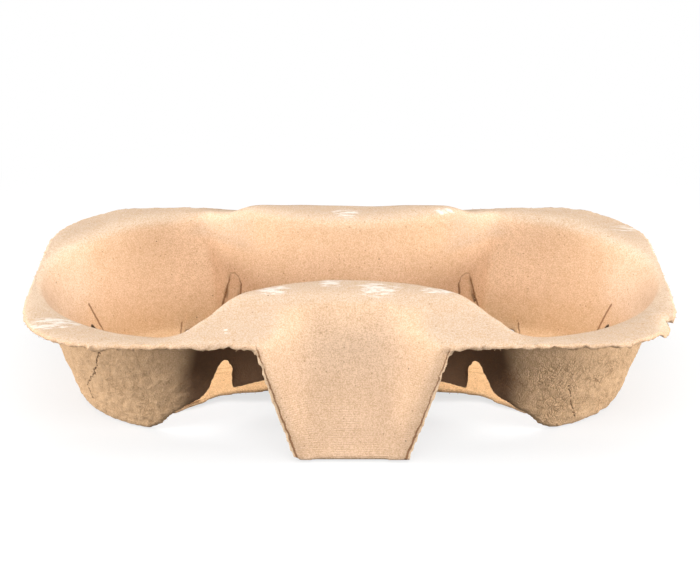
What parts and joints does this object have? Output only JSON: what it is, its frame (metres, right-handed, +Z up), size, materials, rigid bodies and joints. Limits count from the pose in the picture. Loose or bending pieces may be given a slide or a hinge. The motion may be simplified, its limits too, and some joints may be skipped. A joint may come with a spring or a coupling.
{
  "type": "cup carrier",
  "caption": "Moulded-pulp cup carrier with round wells, a raised ridge each side and hanging grip aprons, for carrying drinks.",
  "frame": {"origin": "on the table, under the middle of the carrier", "axes": "+X along the carrier from one well to the other, +Y across it towards the back apron, +Z up"},
  "size_m": [0.215, 0.12, 0.051],
  "materials": {
    "pulp": "matt felted fibre"
  },
  "bodies": {
    "root": {"cup_carrier": "pulp"}
  },
  "joints": []
}
